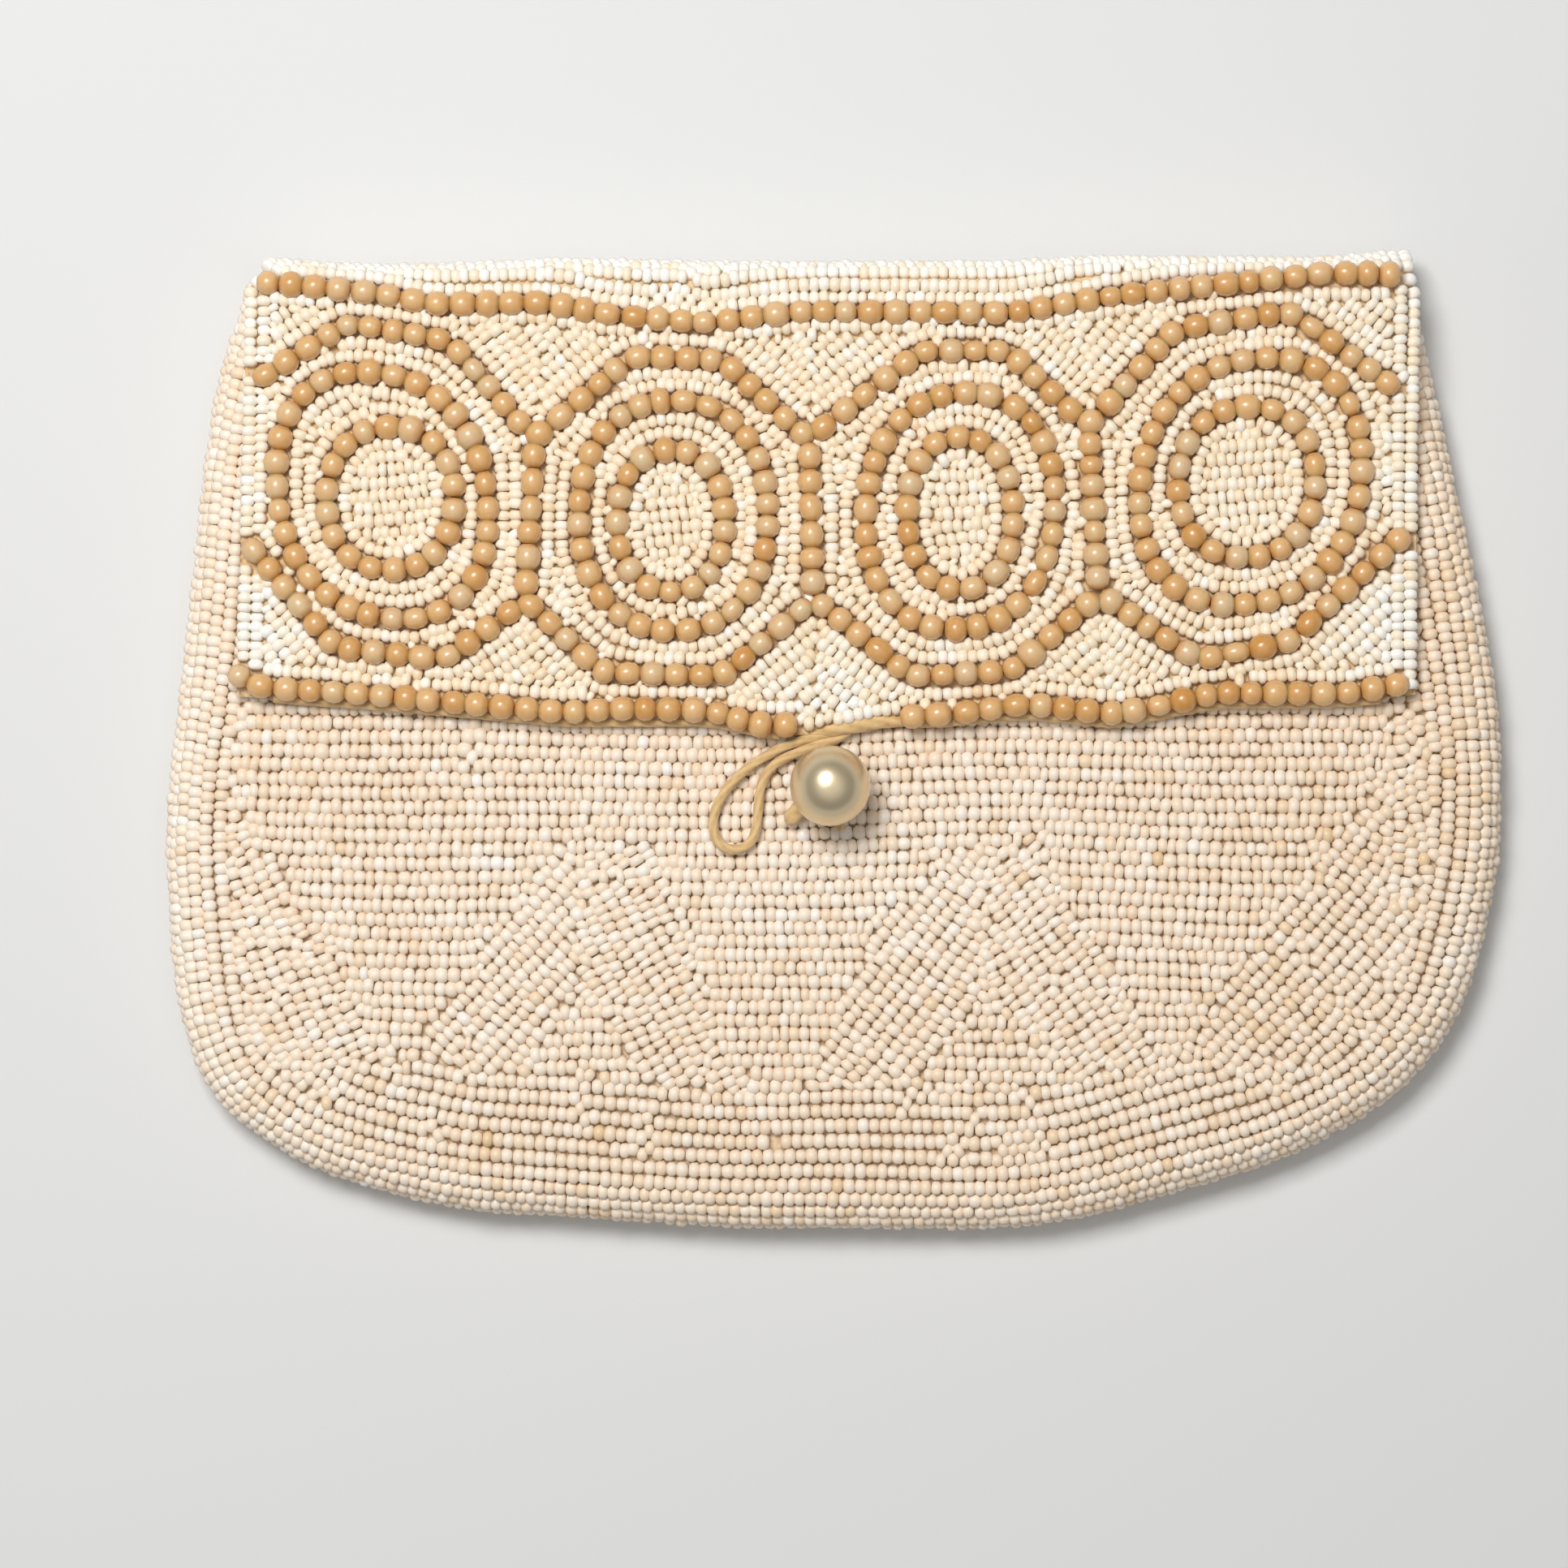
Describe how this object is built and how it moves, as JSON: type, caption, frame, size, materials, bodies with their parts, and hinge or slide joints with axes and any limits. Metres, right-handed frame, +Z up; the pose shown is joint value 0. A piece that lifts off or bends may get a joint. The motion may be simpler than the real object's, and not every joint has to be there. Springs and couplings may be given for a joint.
{
  "type": "beaded clutch",
  "caption": "Soft evening clutch of seed-beaded cloth with a folded flap, strings of amber beads in oval motifs, a pearl button and a cord loop.",
  "frame": {"origin": "under the middle of the clutch, on the face of the back that it rests on", "axes": "+X across the front to the right, +Y up the clutch to the fold of the flap, +Z up out of the front"},
  "size_m": [0.1738, 0.125, 0.0255],
  "materials": {
    "ivory_beads": "cloth covered with ivory glass seed beads",
    "amber_beads": "honey-coloured glass beads with a soft shine",
    "tan_cord": "twisted tan cord",
    "pearl": "imitation pearl"
  },
  "bodies": {
    "root": {"front_panel": "ivory_beads", "back_panel": "ivory_beads", "flap": "ivory_beads", "border_top": "amber_beads", "border_bottom_left": "amber_beads", "border_bottom_right": "amber_beads", "lattice_upper": "amber_beads", "lattice_lower": "amber_beads", "upright_1": "amber_beads", "upright_2": "amber_beads", "upright_3": "amber_beads", "middle_ring_1": "amber_beads", "middle_ring_2": "amber_beads", "middle_ring_3": "amber_beads", "middle_ring_4": "amber_beads", "inner_ring_1": "amber_beads", "inner_ring_2": "amber_beads", "inner_ring_3": "amber_beads", "inner_ring_4": "amber_beads", "edge_cord_left": "tan_cord", "edge_cord_right": "tan_cord", "loop_cord": "tan_cord", "button_shank": "tan_cord", "pearl_button": "pearl"}
  },
  "joints": []
}
